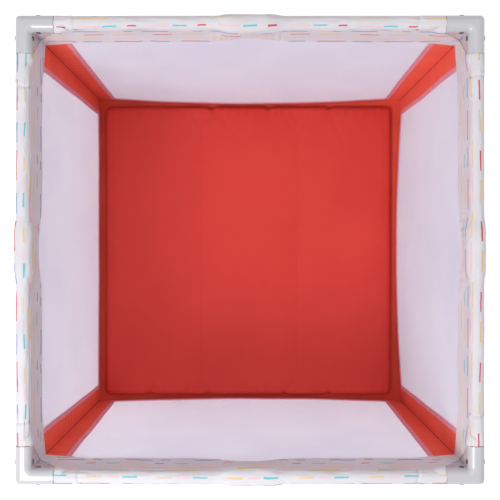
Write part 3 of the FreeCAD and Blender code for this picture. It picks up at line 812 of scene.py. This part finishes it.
for k, corner in enumerate(CORNERS):
    angle = k * math.pi / 2
    leg = f"leg_{corner}"
    ends = (SIDES[k], SIDES[k - 1])
    heights = np.linspace(FLOOR_Z - 0.0015, SOCKET_LOW - 0.003, 130)
    loop = corner_loop(heights, ends)
    a, b = loop[..., 0], loop[..., 1]
    z = heights[:, None]
    swirl = bumps(a * 30 + k, b * 30, z * 9)
    away = np.stack([a - POST, b - POST], axis=-1)
    distance = np.linalg.norm(away, axis=-1, keepdims=True)
    loose = step(0.014, 0.03, distance) * 0.0006 * swirl[..., None]
    moved = loop + away / distance * loose
    points = at_corner(moved[..., 0], moved[..., 1], z, angle)
    around = np.linalg.norm(np.diff(np.concatenate([loop, loop[:, :1]], axis=1), axis=1), axis=-1)
    u = np.concatenate([np.zeros((len(heights), 1)), np.cumsum(around, axis=1)], axis=1)
    uv = np.stack(np.broadcast_arrays(u, z), axis=-1)
    cover = cloth(f"corner_fabric_{corner}", points, uv, 0.001, RIBBED, closed=True)
    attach(cover, leg)
    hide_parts(f"corner_cover_{corner}")
    for side, sign in zip(ends, (-1, 1)):
        turn = SIDES.index(side) * math.pi / 2
        z = np.linspace(BAND_TOP - OVERLAP, hem_height(FIN, side) + OVERLAP, 160)[:, None]
        wave = 0.0024 * bumps(z * 4.5, k * 3.0, sign * 2.0) + 0.0006 * bumps(z * 60, k, sign)
        lean = mixed(0.0035, -0.0035, (z - BAND_TOP) / (HEM - BAND_TOP))
        across = np.linspace(0, SIDE_TAPE, 5)[None, :]
        ax = FIN + wave + lean + across - SIDE_TAPE / 2
        points = on_side(ax * sign, wall_depth(ax, z, side), z + 0 * ax, turn)
        uv = np.stack(np.broadcast_arrays(across, z), axis=-1)
        tape = cloth(f"binding_{corner}_{side}", points, uv, 0.0030, BINDING)
        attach(tape, leg)
        for draw, place in ((inner_gusset, "inner"), (outer_gusset, "outer")):
            piece = draw(f"gusset_{place}_{corner}_{side}", side, sign, turn)
            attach(piece, leg)
        plate = web(f"bracket_web_{corner}_{side}", sign, turn)
        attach(plate, leg)


# The cloth over the base, in four quarters that each follow an arm, and a patch round the hub


def quarter_points(ends):
    """A quarter of the base cloth, from the hub's hole to the walls, as a, b and z."""
    first, second = ends
    turn = np.radians(np.linspace(0, 90, 61))[:, None]
    out = np.concatenate([np.linspace(0, 0.9, 22), np.linspace(0.91, 1, 12)])[None, :]
    reach = 1 / np.maximum(np.cos(turn), np.sin(turn))
    edge_a, edge_b = np.cos(turn) * reach, np.sin(turn) * reach
    wall = np.where(
        edge_b >= edge_a,
        wall_depth(edge_a * SEAM, FLOOR_Z, first),
        wall_depth(edge_b * SEAM, FLOOR_Z, second),
    )
    wall = wall - 0.0008 * np.minimum(edge_a, edge_b) ** 8
    a = mixed(HUB_HOLE * np.cos(turn), edge_a * wall, out)
    b = mixed(HUB_HOLE * np.sin(turn), edge_b * wall, out)
    to_wall = np.clip((np.maximum(a, b) - MAT_HALF - 0.004) / 0.023, 0, 1)
    rise = 0.006 * to_wall**1.3 - 0.0013 * dip(to_wall, 0.75, 0.07)
    return a, b, FLOOR_Z - 0.0008 + rise


for k, corner in enumerate(CORNERS):
    angle = k * math.pi / 2
    a, b, z = quarter_points((SIDES[k], SIDES[k - 1]))
    z = z + 0.0005 * bumps(a * 24 + k, b * 24, 0.3)
    quarter = cloth(
        f"floor_cloth_{corner}", at_corner(a, b, z, angle), np.stack([a, b], axis=-1), SHEET,
        FLOOR_FABRIC,
    )
    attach(quarter, f"arm_{corner}")
    aside = at_corner(1.0, -1.0, 0.0, angle)
    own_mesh(quarter)

turn = np.linspace(0, 2 * math.pi, 96, endpoint=False)[None, :]
radius = np.linspace(HUB_HOLE, HUB_HOLE + HUB_PATCH, 6)[:, None]
x, y = radius * np.cos(turn), radius * np.sin(turn)
z = FLOOR_Z + 0.0002 + 0.0002 * bumps(x * 90, y * 90, 1.0)
around = np.linspace(0, 2 * math.pi * HUB_HOLE, 97)[None, :]
uv = np.stack(np.broadcast_arrays(radius, around), axis=-1)
patch = cloth("hub_patch", np.stack([x, y, z], axis=-1), uv, SHEET, BAND_FABRIC, closed=True)
across = 2 * (HUB_HOLE + HUB_PATCH)
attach(patch, "hub")
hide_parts("floor_cloth")


# The mat, three padded boards in one red cover

MAT_FOLD = joint("mat_fold_right")["pos_m"][0]
MAT_REACH = {"left": 0.008, "right": -0.003, "front": 0.009, "back": 0.004}  # past the boards
MAT_ROUND = 0.018  # the corners' radius
MAT_EDGE = 0.009  # the rims' radius
MAT_GRID = 0.006
MAT_ROWS = 144
CROWN = 0.0022
FRONT_TUFTS = ((-0.30, 0.5), (-0.127, -0.4), (0.103, 0.8), (0.239, 0.3))  # along x, and lean
BACK_TUFTS = ((-0.118, 0.9), (0.0545, -0.5), (0.239, 0.4))
SETTLE_FRAMES = 20


def tufted(x, y, rim):
    """How much the mat's front and back edges are drawn in by their seams, 0 to 1, and the creases
    that run inwards from there."""
    drawn, creased = np.zeros_like(x), np.zeros_like(x)
    for tufts, here in ((FRONT_TUFTS, y < 0), (BACK_TUFTS, y >= 0)):
        for at, lean in tufts:
            drawn += dip(x, at, 0.010) * here
            creased += dip(x - lean * rim, at, 0.007) * np.exp(-rim / 0.045) * here
    return drawn, creased


def rounded(x, y):
    """The mat's plan with its four corners rounded."""
    corner_x, corner_y = np.abs(x) - MAT_HALF + MAT_ROUND, np.abs(y) - MAT_HALF + MAT_ROUND
    in_corner = (corner_x > 0) & (corner_y > 0)
    with np.errstate(divide="ignore", invalid="ignore"):
        squeeze = np.maximum(corner_x, corner_y) / np.hypot(corner_x, corner_y)
    x = np.where(in_corner, np.sign(x) * (MAT_HALF - MAT_ROUND + corner_x * squeeze), x)
    y = np.where(in_corner, np.sign(y) * (MAT_HALF - MAT_ROUND + corner_y * squeeze), y)
    return x, y


def reached(place, start, towards_low, towards_high):
    """Moves the outer parts of the mat, beyond start, outwards to either side."""
    low, high = step(start, MAT_HALF, -place), step(start, MAT_HALF, place)
    return place + MAT_REACH[towards_high] * high - MAT_REACH[towards_low] * low


def mat_wrinkles(x, y, rim, fold):
    """How far the cover's wrinkles and the gathers along its rim rise over the crown."""
    wrinkle = 0.0030 * bumps(x * 4.5, y * 4.5, 2.0) + 0.0010 * bumps(x * 11, y * 9, 0.0)
    wrinkle = wrinkle + 0.0006 * bumps(x * 26 + y * 20, y * 12, 5.0)
    wrinkle = wrinkle * step(0, 0.055, fold) - 0.0003 * np.exp(-fold / 0.02)
    gathers = 0.0011 * np.sin(x * 230 + 6 * bumps(x * 12, y * 2, 8.0)) * dip(rim, 0.012, 0.014)
    return wrinkle * step(0, 0.03, rim) + gathers * step(0, 0.03, fold)


def closed_faces(rows, columns):
    """The faces of a closed pad: a grid's top, the same grid as its underside, and a rim."""
    number = np.arange(rows * columns).reshape(rows, columns)
    corners = (number[:-1, :-1], number[1:, :-1], number[1:, 1:], number[:-1, 1:])
    top = np.stack([corner.ravel() for corner in corners], axis=1)
    ring = np.concatenate([number[0, :-1], number[:-1, -1], number[-1, :0:-1], number[:0:-1, 0]])
    after = np.roll(ring, -1)
    rim = np.stack([ring, after, after + number.size, ring + number.size], axis=1)
    return np.concatenate([top, top[:, ::-1] + number.size, rim])


def mat_panel(name, low, high):
    """A closed pad with a crowned top, rounded rims and a flat underside, and for each of its
    points the share by which its board and seams hold it."""
    columns = int((high - low) / MAT_GRID)
    x = np.linspace(low, high, columns)[:, None] * np.ones((1, MAT_ROWS))
    y = np.linspace(-MAT_HALF, MAT_HALF, MAT_ROWS)[None, :] * np.ones((columns, 1))
    rim = np.minimum(MAT_HALF - np.abs(y), MAT_HALF - np.abs(x))
    x, y = rounded(x, y)
    fold = np.abs(np.abs(x) - MAT_FOLD)
    drawn, creased = tufted(x, y, rim)
    edge = 0.0012 * bumps(x * 20, y * 20, 3.0) * step(0.03, 0.0, rim)
    y = y - np.sign(y) * (0.0045 * drawn * step(0.10, 0.0, rim) + edge)
    x = reached(x, 0.2, "left", "right")
    y = reached(y, 0.1, "front", "back")
    held = np.where(np.minimum(rim, fold) < 0.004, 1.0, 0.02 + 0.3 * np.exp(-fold / 0.03))
    drop = MAT_EDGE * (1 - np.sqrt(1 - (1 - np.clip(rim / MAT_EDGE, 0, 1)) ** 2))
    crown = CROWN * step(0.0, 0.10, rim) - CROWN
    top = MAT_HIGH + crown - drop - 0.0036 * creased + mat_wrinkles(x, y, rim, fold)
    underside = MAT_LOW + 0.4 * drop
    verts = np.concatenate([np.stack([x, y, z], -1).reshape(-1, 3) for z in (top, underside)])
    faces = closed_faces(columns, MAT_ROWS)
    uvs = verts[faces.ravel()][:, :2]
    smooth = np.ones(len(faces), bool)
    pad = finish_mesh(name, verts, faces, uvs, MAT_FABRIC, smooth, sharp_angle=70)
    return pad, np.concatenate([held.ravel(), np.ones(held.size)])


def add_cover(pad, held, spare=0.004, pressure=4.0):
    """Makes the pad's cover a cloth that is cut too large by the share in spare and that the
    filling pushes up. Held has the share by which each point is held."""
    group = pad.vertex_groups.new(name="held")
    levels = np.round(held, 2)
    for level in np.unique(levels):
        group.add(np.flatnonzero(levels == level).tolist(), float(level), "REPLACE")
    cover = pad.modifiers.new("cover", "CLOTH").settings
    cover.quality = 4
    cover.mass = 0.2
    cover.tension_stiffness = 20
    cover.compression_stiffness = 20
    cover.bending_stiffness = 8
    cover.shrink_min = -spare
    cover.use_pressure = True
    cover.uniform_pressure_force = pressure
    cover.vertex_group_mass = group.name
    cover.effector_weights.gravity = 0


def points_of(piece):
    flat = np.empty(len(piece.data.vertices) * 3, np.float32)
    piece.data.vertices.foreach_get("co", flat)
    return flat.reshape(-1, 3)


def keep_settled(pad, after, cap=0.004):
    """Takes over the settled places, where a point moves by up to about cap. Next to a fold the
    pad also stays low enough to lie on its neighbour."""
    before = points_of(pad)
    move = after - before
    far = np.linalg.norm(move, axis=1, keepdims=True)
    move *= cap * np.tanh(far / cap) / np.maximum(far, 1e-9)
    place = before + move
    from_fold = np.abs(np.abs(place[:, 0]) - MAT_FOLD)
    place[:, 2] = np.minimum(place[:, 2], MAT_HIGH - 0.0004 + 0.07 * from_fold)
    pad.modifiers.remove(pad.modifiers["cover"])
    pad.data.vertices.foreach_set("co", place.ravel())
    pad.data.update()
    pad.vertex_groups.clear()


def settle(pads):
    """Lets the covers of all pads settle in one run."""
    for pad, held in pads:
        add_cover(pad, held)
    for frame in range(1, SETTLE_FRAMES + 1):
        bpy.context.scene.frame_set(frame)
    view = bpy.context.evaluated_depsgraph_get()
    settled = [points_of(pad.evaluated_get(view)) for pad, _ in pads]
    for (pad, _), after in zip(pads, settled):
        keep_settled(pad, after)
    bpy.context.scene.frame_set(1)


pads = []
for place, body, low, high in (
    ("left", "mat_left", -MAT_HALF, -MAT_FOLD),
    ("centre", "mat", -MAT_FOLD, MAT_FOLD),
    ("right", "mat_right", MAT_FOLD, MAT_HALF),
):
    pad, held = mat_panel(f"mat_{place}", low, high)
    pads.append((pad, held))
    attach(pad, body)
    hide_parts(f"mat_panel_{place}")
settle(pads)


# Floor and light


def floor():
    finish = Finish("studio_floor", 0.9, **{"Emission Strength": 0.45})
    white = finish.shades(finish.noise(1.5), srgb(251, 251, 251), srgb(254, 254, 254))
    finish.colour(white)
    finish.set(finish.surface, {"Emission Color": white})
    bpy.ops.mesh.primitive_plane_add(size=60)
    plane = bpy.context.object
    plane.name = "studio_floor"
    plane.data.materials.append(finish.material)
    plane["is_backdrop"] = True


def soft_light(name, place, size, power):
    lamp = bpy.data.objects.new(name, bpy.data.lights.new(name, "AREA"))
    lamp.data.shape = "DISK"
    lamp.data.size = size
    lamp.data.energy = power
    lamp.location = place
    lamp.rotation_euler = (-Vector(place)).to_track_quat("-Z", "Y").to_euler()
    bpy.context.collection.objects.link(lamp)


floor()
soft_light("key", (-1.15, -1.4, 2.9), size=1.2, power=48)
soft_light("fill", (0.3, 0.4, 3.8), size=2.5, power=16)
world = bpy.data.worlds.new("studio")
world.use_nodes = True
sky = world.node_tree.nodes["Background"]
sky.inputs["Color"].default_value = (1, 1, 1, 1)
sky.inputs["Strength"].default_value = 0.5
bpy.context.scene.world = world
bpy.context.scene.view_settings.view_transform = "Standard"

low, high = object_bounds()
